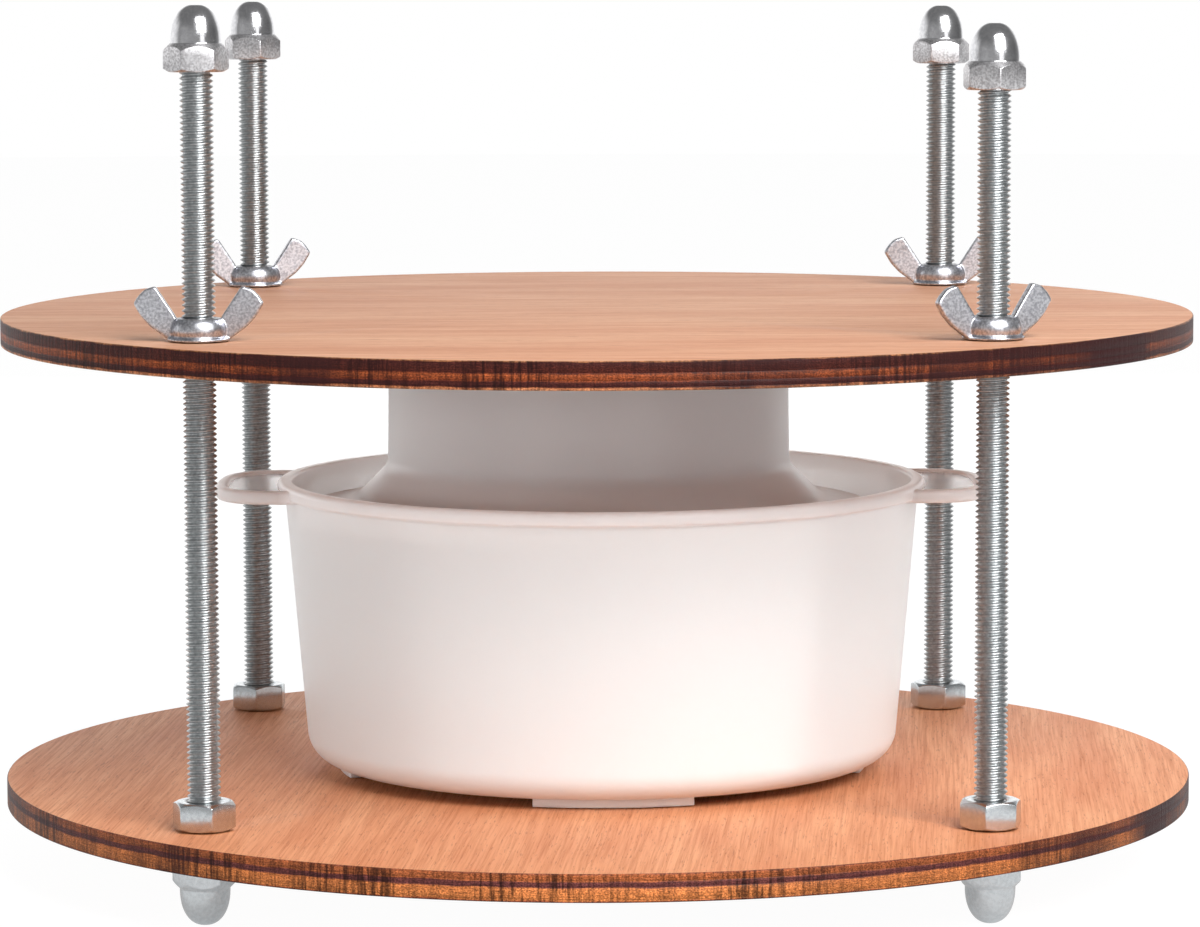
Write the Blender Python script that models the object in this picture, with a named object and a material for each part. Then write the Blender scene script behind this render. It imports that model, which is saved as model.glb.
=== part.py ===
# Cheese press: two round plywood discs on four threaded rods, with a plastic mould and its
# hollow piston between them. Wing nuts on the rods force the upper disc down on the piston.
# Metres, +Z up, origin on the ground under the middle of the discs, the front towards -Y.

from math import cos, pi, radians, sin, sqrt, tan

import bmesh
import bpy

# Discs: the margin runs from a rod's centre out to the disc's rim
rod_spacing = 0.180
disc_margin = 0.0177208
disc_thickness = 0.0065
disc_edge_chamfer = 0.0004
rod_hole_clearance = 0.0005

# Threaded rods, size M8
rod_diameter = 0.008
rod_end_chamfer = 0.0008
# How much longer each rod is than the press travel needs, so that the cap nuts end unevenly
rod_extras = {
    "front_left": 0.0062,
    "front_right": 0.0017,
    "back_left": 0.0047,
    "back_right": 0.0032,
}

# Clearances
seat_gap = 0.0003
thread_gap = 0.0003
overrun = 0.002

# Hexagon nuts: the wall is measured from the bore to the flats, and gives 13 mm across flats
hex_wall = 0.0022
hex_nut_height = 0.0065
hex_chamfer_circle_share = 0.95
hex_chamfer_degrees = 30

# Cap nuts: a hexagon with a dome, used on top of the rods and as feet
cap_hex_height = 0.0065
dome_height = 0.0085
dome_wall = 0.0015
dome_fullness = 2.3
dome_flat_radius = 0.0016
cap_crown = 0.0040
cap_shoulder_degrees = 45

# Wing nuts: the outline runs from the bore's wall, over the wing's tip and back under it,
# across in shares of the way out to the tip and up in shares of the wing's height
wing_span = 0.0296
wing_height = 0.0124
wing_thickness = 0.0022
wing_edge_chamfer = 0.0003
wing_outline_shares = [
    (0.08, 0.43),
    (0.52, 1.00),
    (0.80, 0.90),
    (1.00, 0.68),
    (0.83, 0.43),
    (0.63, 0.25),
    (0.25, 0.02),
]
hub_height = 0.0051
hub_wall = 0.0017
hub_flange_width = 0.0012
hub_flange_height = 0.0008
hub_top_round = 0.0006

# Travel of the upper disc up the rods, and the room a cap nut needs above a wing nut's base
press_travel = 0.045
cap_clearance_above_base = 0.0095

# Mould: the draft is how much narrower its wall is at the bottom
mould_shift = 0.0010
mould_rim_radius = 0.0778
mould_draft = 0.0060
mould_height = 0.0712
mould_wall = 0.0020
mould_floor = 0.0022
mould_corner_radius = 0.0075
collar_height = 0.0033
collar_width = 0.0016
lip_radius = 0.0008
foot_height = 0.0021
foot_width = 0.0030
foot_count = 4
foot_sweep_degrees = 34
foot_turn_degrees = 2.5
ear_reach = 0.0176
ear_width = 0.051
ear_thickness = 0.0033
ear_drop = 0.0008
ear_band = 0.0034
ear_squareness = 3
drain_hole_diameter = 0.003
drain_ring_spacing = 0.016
drain_ring_count = 3
drain_holes_per_ring = 6

# Piston
piston_shift = 0.0031
piston_clearance = 0.0018
piston_height = 0.1005
piston_wall = 0.0024
piston_floor = 0.0030
piston_corner_radius = 0.0060
shoulder_height = 0.0600
shoulder_width = 0.0131
shoulder_slope_height = 0.0022
shoulder_edge_radius = 0.0020
shoulder_edge_degrees = 80
flare_width = 0.0084
flare_height = 0.0078
neck_taper = 0.0004

# Turn of each fastener about its rod, in degrees
wing_nut_turns = {"front_left": 0, "front_right": 25, "back_left": 14, "back_right": 2}
top_cap_turns = {"front_left": 8, "front_right": 36, "back_left": 50, "back_right": 6}
base_nut_turns = {"front_left": 48, "front_right": 17, "back_left": 28, "back_right": 42}
foot_cap_turns = {"front_left": 2, "front_right": 35, "back_left": 20, "back_right": 50}

# Where each rod stands, as signs along X and Y
corners = {
    "front_left": (-1, -1),
    "front_right": (1, -1),
    "back_left": (-1, 1),
    "back_right": (1, 1),
}

# Facets round each kind of piece
disc_facets = 72
moulded_facets = 60
fastener_facets = 24
drain_facets = 8
arc_steps = 3
small_arc_steps = 2
dome_steps = 4
ear_steps = 16
foot_steps = 6
weld_distance = 0.000001
smooth_degrees = 32

# Sizes that follow from those above
disc_radius = rod_spacing / sqrt(2) + disc_margin
bore_radius = rod_diameter / 2 + thread_gap
hex_inradius = bore_radius + hex_wall
hex_chamfer_circle = hex_inradius * hex_chamfer_circle_share
dome_radius = bore_radius + dome_wall
cap_nut_height = cap_hex_height + dome_height
cap_bore_depth = cap_nut_height - cap_crown
rod_engagement = cap_bore_depth - seat_gap
hub_radius = bore_radius + hub_wall

lower_disc_z = cap_nut_height + seat_gap
base_nut_z = lower_disc_z + disc_thickness + seat_gap
mould_z = base_nut_z
piston_z = mould_z + foot_height + mould_floor + seat_gap
upper_disc_z = piston_z + piston_height + seat_gap
wing_nut_z = upper_disc_z + disc_thickness + seat_gap
rod_bottom_z = cap_nut_height - rod_engagement


def clear_scene():
    for old in list(bpy.data.objects):
        bpy.data.objects.remove(old, do_unlink=True)


def make_material(name, colour, roughness, metallic):
    material = bpy.data.materials.new(name)
    material.use_nodes = True
    shader = material.node_tree.nodes["Principled BSDF"]
    shader.inputs["Base Color"].default_value = (*colour, 1)
    shader.inputs["Roughness"].default_value = roughness
    shader.inputs["Metallic"].default_value = metallic
    return material


def new_object(name, mesh_builder, material=None, parent=None, place=(0, 0, 0), turn=0):
    mesh = bpy.data.meshes.new(name)
    bmesh.ops.recalc_face_normals(mesh_builder, faces=mesh_builder.faces)
    mesh_builder.to_mesh(mesh)
    mesh_builder.free()
    mesh.shade_smooth()
    mesh.set_sharp_from_angle(angle=radians(smooth_degrees))
    return place_object(name, mesh, material, parent, place, turn)


def place_object(name, mesh, material=None, parent=None, place=(0, 0, 0), turn=0):
    piece = bpy.data.objects.new(name, mesh)
    bpy.context.collection.objects.link(piece)
    if material:
        mesh.materials.clear()
        mesh.materials.append(material)
    piece.parent = parent
    piece.location = place
    piece.rotation_euler = (0, 0, radians(turn))
    return piece


def combine(target, operation, tool):
    """Join a tool to the target or cut it out, with the tool kept as a wire guide."""
    modifier = target.modifiers.new(tool.name, "BOOLEAN")
    modifier.operation = operation
    modifier.object = tool
    modifier.solver = "EXACT"
    tool.hide_render = True
    tool.display_type = "WIRE"
    tool.parent = target


def finished_mesh(pattern, tools):
    """The pattern with its modifiers applied; the pattern and its tools are then removed."""
    depsgraph = bpy.context.evaluated_depsgraph_get()
    mesh = bpy.data.meshes.new_from_object(pattern.evaluated_get(depsgraph))
    mesh.name = pattern.name
    for spent in [pattern, *tools]:
        bpy.data.objects.remove(spent, do_unlink=True)
    return mesh


def turned(profile, facets, closed=True):
    """Spin a profile of (radius, height) points round Z. An open one starts and ends on the axis."""
    builder = bmesh.new()
    points = [builder.verts.new((radius, 0, height)) for radius, height in profile]
    ends = points[1:] + points[:1] if closed else points[1:]
    edges = [builder.edges.new(pair) for pair in zip(points, ends)]
    bmesh.ops.spin(builder, geom=points + edges, cent=(0, 0, 0), axis=(0, 0, 1),
                   angle=2 * pi, steps=facets, use_merge=True)
    bmesh.ops.remove_doubles(builder, verts=builder.verts, dist=weld_distance)
    return builder


def lofted(rings, closed=False):
    """Skin between rings of points. An open skin is capped flat at its first and last ring."""
    builder = bmesh.new()
    loops = [[builder.verts.new(point) for point in ring] for ring in rings]
    count = len(loops[0])
    followers = loops[1:] + loops[:1] if closed else loops[1:]
    for lower, upper in zip(loops, followers):
        for i in range(count):
            j = (i + 1) % count
            builder.faces.new((lower[i], lower[j], upper[j], upper[i]))
    if not closed:
        builder.faces.new(loops[0])
        builder.faces.new(loops[-1])
    return builder


def extruded(outline, height):
    """A flat outline of (x, y) points, given a height along Z from zero up."""
    builder = bmesh.new()
    base = builder.faces.new([builder.verts.new((x, y, 0)) for x, y in outline])
    raised = bmesh.ops.extrude_face_region(builder, geom=[base])
    top = [item for item in raised["geom"] if isinstance(item, bmesh.types.BMVert)]
    bmesh.ops.translate(builder, verts=top, vec=(0, 0, height))
    return builder


def arc(centre_radius, centre_height, radius, start, end, steps=arc_steps):
    """Points of a profile's rounded corner, from the start angle to the end angle in degrees."""
    angles = [radians(start + (end - start) * i / steps) for i in range(steps + 1)]
    return [(centre_radius + radius * cos(a), centre_height + radius * sin(a)) for a in angles]


def circle_ring(radius, height):
    angles = [2 * pi * i / fastener_facets for i in range(fastener_facets)]
    return [(radius * cos(a), radius * sin(a), height) for a in angles]


def hexagon_ring(height, chamfer_circle, chamfer_degrees, direction):
    """A ring on the hexagon's flats, where a cone from the chamfer circle meets them."""
    ring = []
    for i in range(fastener_facets):
        angle = 2 * pi * i / fastener_facets
        radius = hex_inradius / cos(angle % (pi / 3) - pi / 6)
        set_back = (radius - chamfer_circle) * tan(radians(chamfer_degrees))
        ring.append((radius * cos(angle), radius * sin(angle), height + direction * set_back))
    return ring


def hex_nut_mesh():
    rings = [
        circle_ring(bore_radius, 0),
        circle_ring(hex_chamfer_circle, 0),
        hexagon_ring(0, hex_chamfer_circle, hex_chamfer_degrees, 1),
        hexagon_ring(hex_nut_height, hex_chamfer_circle, hex_chamfer_degrees, -1),
        circle_ring(hex_chamfer_circle, hex_nut_height),
        circle_ring(bore_radius, hex_nut_height),
    ]
    return lofted(rings, closed=True)


def cap_nut_mesh():
    """The open face lies at height zero and the dome points up."""
    rings = [
        circle_ring(bore_radius, cap_bore_depth),
        circle_ring(bore_radius, 0),
        circle_ring(hex_chamfer_circle, 0),
        hexagon_ring(0, hex_chamfer_circle, hex_chamfer_degrees, 1),
        hexagon_ring(cap_hex_height, dome_radius, cap_shoulder_degrees, -1),
    ]
    flat_share = dome_flat_radius / dome_radius
    top_share = (1 - flat_share ** dome_fullness) ** (1 / dome_fullness)
    for i in range(dome_steps + 1):
        rise_share = top_share * sin(pi / 2 * i / dome_steps)
        radius = dome_radius * (1 - rise_share ** dome_fullness) ** (1 / dome_fullness)
        rings.append(circle_ring(radius, cap_hex_height + dome_height * rise_share / top_share))
    return lofted(rings)


def wing_nut_mesh():
    """Hub with a flanged base at height zero, and two upright wings along X."""
    flange_radius = hub_radius + hub_flange_width
    profile = [
        (bore_radius, 0),
        (flange_radius, 0),
        (flange_radius, hub_flange_height / 2),
        (hub_radius, hub_flange_height + hub_flange_width),
        (hub_radius, hub_height - hub_top_round),
        (hub_radius - hub_top_round, hub_height),
        (bore_radius, hub_height),
    ]
    hub = new_object("hub", turned(profile, fastener_facets))
    root = (hub_radius + bore_radius) / 2
    tools = []
    for side in (-1, 1):
        outline = [(side * root, hub_height / 3)]
        outline += [(side * (bore_radius + across * (wing_span / 2 - bore_radius)),
                     up * wing_height) for across, up in wing_outline_shares]
        builder = extruded(outline, wing_thickness)
        edges = [edge for edge in builder.edges if edge.verts[0].co.z == edge.verts[1].co.z]
        bmesh.ops.bevel(builder, geom=edges, offset=wing_edge_chamfer, segments=1,
                        affect="EDGES", clamp_overlap=True)
        wing = new_object("wing", builder)
        wing.rotation_euler.x = radians(90)
        wing.location.y = wing_thickness / 2
        combine(hub, "UNION", wing)
        tools.append(wing)
    return finished_mesh(hub, tools)


def rod_mesh(length):
    radius = rod_diameter / 2
    return lofted([
        circle_ring(radius - rod_end_chamfer, 0),
        circle_ring(radius, rod_end_chamfer),
        circle_ring(radius, length - rod_end_chamfer),
        circle_ring(radius - rod_end_chamfer, length),
    ])


def make_disc(name, material, parent, height):
    profile = [
        (0, 0),
        (disc_radius - disc_edge_chamfer, 0),
        (disc_radius, disc_edge_chamfer),
        (disc_radius, disc_thickness - disc_edge_chamfer),
        (disc_radius - disc_edge_chamfer, disc_thickness),
        (0, disc_thickness),
    ]
    disc = new_object(name, turned(profile, disc_facets, closed=False), material, parent,
                      (0, 0, height))
    hole_radius = rod_diameter / 2 + rod_hole_clearance
    for corner, (side_x, side_y) in corners.items():
        drill = new_object(
            f"{name}_hole_{corner}",
            lofted([circle_ring(hole_radius, -overrun),
                    circle_ring(hole_radius, disc_thickness + overrun)]),
            place=(side_x * rod_spacing / 2, side_y * rod_spacing / 2, 0))
        combine(disc, "DIFFERENCE", drill)
    return disc


def mould_wall_radius(height):
    """Outer radius of the mould's tapered wall at a height over its feet."""
    rise = (height - foot_height) / (mould_height - foot_height)
    return mould_rim_radius - mould_draft * (1 - rise)


def mould_profile():
    floor_top = foot_height + mould_floor
    corner_z = foot_height + mould_corner_radius
    corner_r = mould_wall_radius(corner_z) - mould_corner_radius
    inner_corner = mould_corner_radius - mould_wall
    collar_r = mould_rim_radius + collar_width
    lip_z = mould_height - lip_radius
    return [
        (0, foot_height),
        *arc(corner_r, corner_z, mould_corner_radius, -90, 0),
        (mould_wall_radius(mould_height - collar_height - collar_width / 2),
         mould_height - collar_height - collar_width / 2),
        (collar_r, mould_height - collar_height),
        *arc(collar_r - lip_radius, lip_z, lip_radius, 0, 90, small_arc_steps),
        *arc(mould_rim_radius - mould_wall + lip_radius, lip_z, lip_radius, 90, 180,
             small_arc_steps),
        (mould_wall_radius(lip_z - lip_radius) - mould_wall, lip_z - lip_radius),
        *reversed(arc(corner_r, floor_top + inner_corner, inner_corner, -90, 0)),
        (0, floor_top),
    ]


def rounded_reach(reach, half_width):
    """Half a squared-off oval, from one side of an ear to the other."""
    points = []
    for i in range(ear_steps + 1):
        angle = pi * i / ear_steps - pi / 2
        side = 1 if angle > 0 else -1
        points.append((reach * abs(cos(angle)) ** (2 / ear_squareness),
                       side * half_width * abs(sin(angle)) ** (2 / ear_squareness)))
    return points


def ear_tools(side):
    """A loop handle: an outer plate, and the finger hole that is cut out of it."""
    root = mould_rim_radius - mould_wall / 2
    height = mould_height - ear_drop - ear_thickness
    plate_outline = [(root / 2, ear_width / 2), (root / 2, -ear_width / 2)]
    plate_outline += [(root + x, y) for x, y in rounded_reach(ear_reach, ear_width / 2)]
    hole_outline = [(root / 2, ear_width / 2 - ear_band), (root / 2, ear_band - ear_width / 2)]
    hole_outline += [(root + x, y) for x, y in
                     rounded_reach(ear_reach - ear_band, ear_width / 2 - ear_band)]
    plate = extruded(plate_outline, ear_thickness)
    hole = extruded(hole_outline, ear_thickness + 2 * overrun)
    bmesh.ops.translate(plate, verts=plate.verts, vec=(0, 0, height))
    bmesh.ops.translate(hole, verts=hole.verts, vec=(0, 0, height - overrun))
    name = "right" if side > 0 else "left"
    turn = 0 if side > 0 else 180
    inner = turned([(0, 0), (root, 0), (root, mould_height + overrun), (0, mould_height + overrun)],
                   moulded_facets, closed=False)
    return (new_object(f"ear_plate_{name}", plate, turn=turn),
            new_object(f"ear_hole_{name}", hole, turn=turn),
            new_object(f"ear_inside_{name}", inner))


def foot_tool(index):
    """One arc of the foot ring, from its seat up into the floor."""
    outer = mould_wall_radius(foot_height + mould_corner_radius) - mould_corner_radius
    middle = -90 + foot_turn_degrees + 360 / foot_count * index
    start = middle - foot_sweep_degrees / 2
    profile = [(outer - foot_width, 0), (outer, 0),
               (outer, foot_height + mould_floor / 2),
               (outer - foot_width, foot_height + mould_floor / 2)]
    rings = []
    for i in range(foot_steps + 1):
        angle = radians(start + foot_sweep_degrees * i / foot_steps)
        rings.append([(r * cos(angle), r * sin(angle), z) for r, z in profile])
    return new_object(f"mould_foot_{index + 1}", lofted(rings))


def drain_tool():
    """Drain holes in rings round the middle of the floor."""
    builder = bmesh.new()
    places = [(0, 0)]
    for ring in range(1, drain_ring_count + 1):
        count = drain_holes_per_ring * ring
        for i in range(count):
            angle = 2 * pi * i / count
            places.append((ring * drain_ring_spacing * cos(angle),
                           ring * drain_ring_spacing * sin(angle)))
    depth = mould_floor + 2 * overrun
    for x, y in places:
        made = bmesh.ops.create_cone(builder, cap_ends=True, segments=drain_facets,
                                     radius1=drain_hole_diameter / 2,
                                     radius2=drain_hole_diameter / 2, depth=depth)
        bmesh.ops.translate(builder, verts=made["verts"],
                            vec=(x, y, foot_height + mould_floor / 2))
    return new_object("drain_holes", builder)


def make_mould(material, parent):
    mould = new_object("cheese_mould", turned(mould_profile(), moulded_facets, closed=False),
                       material, parent, (mould_shift, 0, mould_z))
    for side in (-1, 1):
        plate, hole, inside = ear_tools(side)
        combine(plate, "DIFFERENCE", hole)
        combine(plate, "DIFFERENCE", inside)
        hole.rotation_euler.z = 0
        combine(mould, "UNION", plate)
    for index in range(foot_count):
        combine(mould, "UNION", foot_tool(index))
    combine(mould, "DIFFERENCE", drain_tool())
    return mould


def piston_radius(height):
    """Outer radius of the piston's body, a clearance inside the mould's tapered wall."""
    over_feet = foot_height + mould_floor + seat_gap + height
    return mould_wall_radius(over_feet) - mould_wall - piston_shift - piston_clearance


def piston_profile():
    """Closed pressing face at the bottom, a body, a sloping shoulder, a flare and a neck."""
    wall = piston_wall
    corner_r = piston_radius(piston_corner_radius) - piston_corner_radius
    edge_r = piston_radius(shoulder_height) - shoulder_edge_radius
    edge_z = shoulder_height - shoulder_edge_radius
    flare_r = piston_radius(shoulder_height) - shoulder_width
    flare_z = shoulder_height + shoulder_slope_height
    neck_r = flare_r - flare_width
    neck_z = flare_z + flare_height
    inner_corner = piston_corner_radius - wall
    return [
        (0, 0),
        *arc(corner_r, piston_corner_radius, piston_corner_radius, -90, 0),
        *arc(edge_r, edge_z, shoulder_edge_radius, 0, shoulder_edge_degrees, small_arc_steps),
        (flare_r, flare_z),
        (neck_r + neck_taper, neck_z),
        (neck_r, piston_height),
        (neck_r - wall, piston_height),
        (neck_r + neck_taper - wall, neck_z - wall / 2),
        (flare_r - wall / 2, flare_z - wall),
        (edge_r, shoulder_height - wall),
        (piston_radius(edge_z - wall) - wall, edge_z - wall),
        *reversed(arc(corner_r, piston_floor + inner_corner, inner_corner, -90, 0)),
        (0, piston_floor),
    ]


def build_press():
    clear_scene()
    plywood_lower = make_material("lower_plywood", (0.58, 0.27, 0.15), 0.55, 0)
    plywood_upper = make_material("upper_plywood", (0.68, 0.39, 0.26), 0.55, 0)
    zinc = make_material("zinc_plated_steel", (0.72, 0.72, 0.73), 0.25, 1)
    mould_plastic = make_material("mould_polypropylene", (0.86, 0.83, 0.82), 0.35, 0)
    piston_plastic = make_material("piston_polypropylene", (0.60, 0.53, 0.51), 0.35, 0)

    frame = bpy.data.objects.new("frame", None)
    bpy.context.collection.objects.link(frame)
    make_disc("lower_disc", plywood_lower, frame, lower_disc_z)
    upper_disc = make_disc("upper_disc", plywood_upper, frame, upper_disc_z)

    cap_nut = new_object("cap_nut_pattern", cap_nut_mesh())
    cap_mesh = finished_mesh(cap_nut, [])
    hex_nut = new_object("hex_nut_pattern", hex_nut_mesh())
    hex_mesh = finished_mesh(hex_nut, [])
    wing_mesh = wing_nut_mesh()

    for corner, (side_x, side_y) in corners.items():
        x = side_x * rod_spacing / 2
        y = side_y * rod_spacing / 2
        rod_top_z = (wing_nut_z + cap_clearance_above_base + press_travel
                     + rod_engagement + rod_extras[corner])
        new_object(f"threaded_rod_{corner}", rod_mesh(rod_top_z - rod_bottom_z), zinc, frame,
                   (x, y, rod_bottom_z))
        place_object(f"base_hex_nut_{corner}", hex_mesh, zinc, frame,
                     (x, y, base_nut_z), base_nut_turns[corner])
        place_object(f"top_cap_nut_{corner}", cap_mesh, zinc, frame,
                     (x, y, rod_top_z - rod_engagement), top_cap_turns[corner])
        foot = place_object(f"foot_cap_nut_{corner}", cap_mesh, zinc, frame,
                            (x, y, cap_nut_height), foot_cap_turns[corner])
        foot.rotation_euler.x = pi
        place_object(f"wing_nut_{corner}", wing_mesh, zinc, upper_disc,
                     (x, y, wing_nut_z - upper_disc_z), wing_nut_turns[corner])

    mould = make_mould(mould_plastic, frame)
    new_object("piston", turned(piston_profile(), moulded_facets, closed=False),
               piston_plastic, mould, (-piston_shift, 0, piston_z - mould_z))


build_press()
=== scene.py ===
# Cheese press: two oiled plywood discs on four threaded rods, with a milky plastic mould and
# its piston between them. Metres, +Z up, the front towards -Y.

from math import asin, atan2, copysign, cos, degrees, hypot, pi, radians, sin, tan

import bmesh
import bpy
from mathutils import Matrix, Vector


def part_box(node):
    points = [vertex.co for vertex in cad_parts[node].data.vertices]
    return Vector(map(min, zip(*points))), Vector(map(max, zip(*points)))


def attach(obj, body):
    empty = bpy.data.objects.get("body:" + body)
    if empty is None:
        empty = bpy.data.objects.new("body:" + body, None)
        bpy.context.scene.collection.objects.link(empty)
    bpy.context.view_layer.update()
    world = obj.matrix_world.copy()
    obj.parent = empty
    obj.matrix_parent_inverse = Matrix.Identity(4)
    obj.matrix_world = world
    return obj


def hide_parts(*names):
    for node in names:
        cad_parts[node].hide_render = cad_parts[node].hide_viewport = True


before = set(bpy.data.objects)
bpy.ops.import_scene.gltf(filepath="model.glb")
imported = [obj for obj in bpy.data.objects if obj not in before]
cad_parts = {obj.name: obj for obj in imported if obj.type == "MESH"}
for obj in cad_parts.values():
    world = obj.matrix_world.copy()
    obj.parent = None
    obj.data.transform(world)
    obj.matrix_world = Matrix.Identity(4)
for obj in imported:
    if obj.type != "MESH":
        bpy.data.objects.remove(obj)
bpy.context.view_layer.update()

cornerNames = ("front_left", "front_right", "back_left", "back_right")
millimetre = 0.001

# The photograph's view: a long lens a little above the upper disc, 1200 by 927 pixels
photoView = {
    "place": (0.002518, -1.210237, 0.224545),
    "pitchDown": 6.0417,  # degrees, as the next two are
    "yaw": -0.0870,
    "roll": -0.1549,
    "lens": 148.704,      # millimetres
    "sensorWidth": 36,    # millimetres
    "nearest": 0.05,
    "farthest": 50,
}


def makeCamera(view):
    pitch, yaw, roll = radians(view["pitchDown"]), radians(view["yaw"]), radians(view["roll"])
    forward = Vector((sin(yaw) * cos(pitch), cos(yaw) * cos(pitch), -sin(pitch)))
    right = Vector((cos(yaw), -sin(yaw), 0))
    up = right.cross(forward)
    rolledRight = right * cos(roll) + up * sin(roll)
    rolledUp = up * cos(roll) - right * sin(roll)
    turn = Matrix((rolledRight, rolledUp, -forward)).transposed()
    data = bpy.data.cameras.new("photoCamera")
    data.lens = view["lens"]
    data.sensor_width = view["sensorWidth"]
    data.clip_start, data.clip_end = view["nearest"], view["farthest"]
    camera = bpy.data.objects.new("photoCamera", data)
    camera.matrix_world = Matrix.Translation(view["place"]) @ turn.to_4x4()
    bpy.context.collection.objects.link(camera)
    bpy.context.scene.camera = camera


makeCamera(photoView)
print("camera set")


# Nodes and materials

def linearColour(hexText):
    # From the hex text of sRGB to the linear values of a socket
    shares = [int(hexText[i:i + 2], 16) / 255 for i in (1, 3, 5)]
    return (*[s / 12.92 if s <= 0.04045 else ((s + 0.055) / 1.055) ** 2.4 for s in shares], 1)


def fillInputs(tree, node, values):
    for key, value in values.items():
        if key in ("From", "To"):  # both ends of a Map Range
            fillInputs(tree, node, {f"{key} Min": value[0], f"{key} Max": value[1]})
            continue
        if isinstance(key, int):
            socket = node.inputs[key]
        else:
            socket = next(s for s in node.inputs if s.enabled and s.name == key)
        if isinstance(value, str) and value.startswith("#"):
            value = linearColour(value)
        if isinstance(value, bpy.types.Node):
            value = next(s for s in value.outputs if s.enabled)
        if isinstance(value, bpy.types.NodeSocket):
            tree.links.new(value, socket)
        else:
            socket.default_value = value


def settle(thing, **settings):
    for name, value in settings.items():
        setattr(thing, name, value)
    return thing


def addNode(tree, kind, values=None, stops=None, **settings):
    # Shader nodes, which geometry trees share, go by their type without its ShaderNode
    node = settle(tree.nodes.new(kind if "Node" in kind else "ShaderNode" + kind), **settings)
    if stops:
        elements = node.color_ramp.elements
        while len(elements) < len(stops):
            elements.new(1)
        for element, (position, colour) in zip(elements, stops):
            grey = (colour, colour, colour, 1)
            settle(element, position=position,
                   color=linearColour(colour) if isinstance(colour, str) else grey)
    fillInputs(tree, node, values or {})
    return node


def newMaterial(name):
    material = bpy.data.materials.new(name)
    material.use_nodes = True
    tree = material.node_tree
    return (material, tree, tree.nodes["Principled BSDF"],
            addNode(tree, "TexCoord").outputs["Object"])


def noiseAt(tree, vector, size, detail, rough=0.5):
    # Noise with grains of the given size along X, Y and Z, in millimetres
    stretched = addNode(tree, "Mapping", {
        "Vector": vector, "Scale": [1 / (side * millimetre) for side in size]})
    return addNode(tree, "TexNoise", {
        "Vector": stretched, "Scale": 1.0, "Detail": detail, "Roughness": rough})


def finishMaterial(tree, shader, relief, height, values, strength=1.0):
    # The values of a finish, and its relief in millimetres
    bump = addNode(tree, "Bump", {
        "Height": height, "Strength": strength, "Distance": relief * millimetre})
    fillInputs(tree, shader, {"Normal": bump, **values})


def newTree(name, values):
    # A geometry tree with an input of the right kind for each value
    kinds = {"float": "Float", "int": "Int", "tuple": "Vector"}
    tree = bpy.data.node_groups.new(name, "GeometryNodeTree")
    for way in ("OUTPUT", "INPUT"):
        tree.interface.new_socket("Geometry", in_out=way, socket_type="NodeSocketGeometry")
    for label, value in values.items():
        kind = type(value).__name__
        tree.interface.new_socket(label, in_out="INPUT",
                                  socket_type="NodeSocket" + kinds.get(kind, kind))
    return tree, addNode(tree, "NodeGroupInput").outputs, addNode(tree, "NodeGroupOutput")


def finishTree(tree, result, geometry, *finishes):
    # Each tree ends in real geometry with its finishes, each where it belongs
    geometry = addNode(tree, "GeometryNodeRealizeInstances", {"Geometry": geometry})
    for finish, where in finishes:
        geometry = addNode(tree, "GeometryNodeSetMaterial", {
            "Geometry": geometry, "Selection": where, "Material": finish})
    fillInputs(tree, result, {"Geometry": geometry})
    return tree


# Mesh helpers

def skinned(name, rings, closed=False):
    # Skin between rings of equally many points; a ring of one point is a pole
    points, starts, faces = [], [], []
    for ring in rings:
        starts.append(len(points))
        points += ring
    count = max(len(ring) for ring in rings)
    for a in range(len(rings) if closed else len(rings) - 1):
        b = (a + 1) % len(rings)
        for i in range(count):
            j = (i + 1) % count
            lower = [starts[a] + i, starts[a] + j] if len(rings[a]) > 1 else [starts[a]]
            upper = [starts[b] + j, starts[b] + i] if len(rings[b]) > 1 else [starts[b]]
            faces.append(lower + upper)
    if not closed:
        faces += [[starts[a] + i for i in range(count)] for a in (0, -1) if len(rings[a]) > 1]
    mesh = bpy.data.meshes.new(name)
    mesh.from_pydata(points, [], faces)
    builder = bmesh.new()
    builder.from_mesh(mesh)
    bmesh.ops.recalc_face_normals(builder, faces=builder.faces)
    if builder.calc_volume(signed=True) < 0:
        bmesh.ops.reverse_faces(builder, faces=builder.faces)
    builder.to_mesh(mesh)
    builder.free()
    return mesh


def circleRing(radius, height, segments):
    if radius == 0:
        return [(0, 0, height)]
    angles = [2 * pi * i / segments for i in range(segments)]
    return [(radius * cos(a), radius * sin(a), height) for a in angles]


def turned(name, profile, segments, closed=False):
    return skinned(name, [circleRing(r, z, segments) for r, z in profile], closed)


def arc(centreX, centreY, radius, start, end, steps):
    angles = [radians(start + (end - start) * i / steps) for i in range(steps + 1)]
    return [(centreX + radius * cos(a), centreY + radius * sin(a)) for a in angles]


def roundedCorner(before, corner, after, radius, steps):
    # A small curve that starts and ends on the corner's two sides
    back, ahead = before - corner, after - corner
    reach = min(radius, back.length / 2, ahead.length / 2)
    start, end = corner + back.normalized() * reach, corner + ahead.normalized() * reach
    return [start * (1 - t) ** 2 + corner * 2 * t * (1 - t) + end * t ** 2
            for t in [k / steps for k in range(steps + 1)]]


def squaredOff(share, squareness):
    # A cosine or sine made fuller, so that a round becomes a squared-off oval
    return copysign(abs(share) ** (2 / squareness), share)


def newObject(name, mesh, material=None):
    piece = bpy.data.objects.new(name, mesh)
    bpy.context.collection.objects.link(piece)
    if material:
        mesh.materials.clear()
        mesh.materials.append(material)
    return piece


def bakedMesh(piece, name):
    # The piece with its modifiers applied, as a plain mesh
    depsgraph = bpy.context.evaluated_depsgraph_get()
    mesh = bpy.data.meshes.new_from_object(piece.evaluated_get(depsgraph))
    mesh.name = name
    return mesh


def bakeInto(piece):
    mesh = bakedMesh(piece, piece.data.name)
    piece.modifiers.clear()
    piece.data = mesh


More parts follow.
